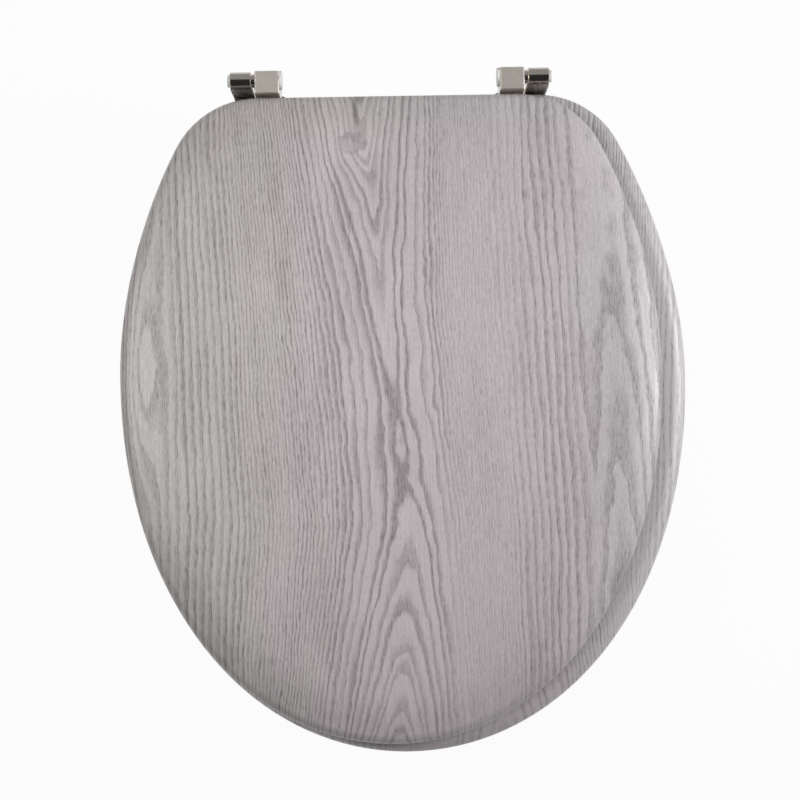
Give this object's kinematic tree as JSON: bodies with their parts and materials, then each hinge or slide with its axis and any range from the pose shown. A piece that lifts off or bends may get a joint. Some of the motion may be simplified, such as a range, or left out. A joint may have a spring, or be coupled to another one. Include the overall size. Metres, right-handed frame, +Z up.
{
  "type": "toilet seat",
  "caption": "Grey wood-decor toilet seat ring with a matching lid on two plated barrel hinges, fixed to a bowl by studs with wing nuts.",
  "frame": {"origin": "midway between the two fixing studs, on the top of the bowl's ledge", "axes": "+Z up; +Y to the rear, towards the cistern; +X to the right as seen from the front; hinge axis along X"},
  "size_m": [0.37, 0.4448, 0.102],
  "materials": {
    "decor_wood": "satin grey ash wood-grain film on fibreboard",
    "plated_zinc": "satin nickel plated zinc casting",
    "zinc_steel": "bright zinc plated steel",
    "white_nylon": "natural white nylon",
    "grey_rubber": "dark grey rubber",
    "clear_rubber": "pale translucent rubber"
  },
  "bodies": {
    "mounting": {"left_post": "plated_zinc", "left_hinge_pin": "zinc_steel", "left_gasket": "grey_rubber", "left_stud": "zinc_steel", "left_rubber_washer": "grey_rubber", "left_flat_washer": "zinc_steel", "left_wing_nut": "zinc_steel", "right_post": "plated_zinc", "right_hinge_pin": "zinc_steel", "right_gasket": "grey_rubber", "right_stud": "zinc_steel", "right_rubber_washer": "grey_rubber", "right_flat_washer": "zinc_steel", "right_wing_nut": "zinc_steel"},
    "seat": {"seat_ring": "decor_wood", "seat_leaf_screws": "zinc_steel", "left_seat_leaf": "plated_zinc", "left_seat_bush": "white_nylon", "right_seat_leaf": "plated_zinc", "right_seat_bush": "white_nylon", "seat_bumper_front_left": "clear_rubber", "seat_bumper_front_right": "clear_rubber", "seat_bumper_rear_left": "clear_rubber", "seat_bumper_rear_right": "clear_rubber"},
    "lid": {"lid_board": "decor_wood", "lid_leaf_screws": "zinc_steel", "left_lid_leaf": "plated_zinc", "left_lid_bush": "white_nylon", "right_lid_leaf": "plated_zinc", "right_lid_bush": "white_nylon", "lid_bumper_front_left": "clear_rubber", "lid_bumper_front_right": "clear_rubber", "lid_bumper_rear_left": "clear_rubber", "lid_bumper_rear_right": "clear_rubber"}
  },
  "joints": [
    {"name": "seat_hinge", "type": "hinge", "parent": "mounting", "child": "seat", "pos_m": [0, 0, 0.042], "axis": [-1, 0, 0], "range_deg": [0, 95]},
    {"name": "lid_hinge", "type": "hinge", "parent": "seat", "child": "lid", "pos_m": [0, 0, 0.042], "axis": [-1, 0, 0], "range_deg": [0, 100]}
  ]
}
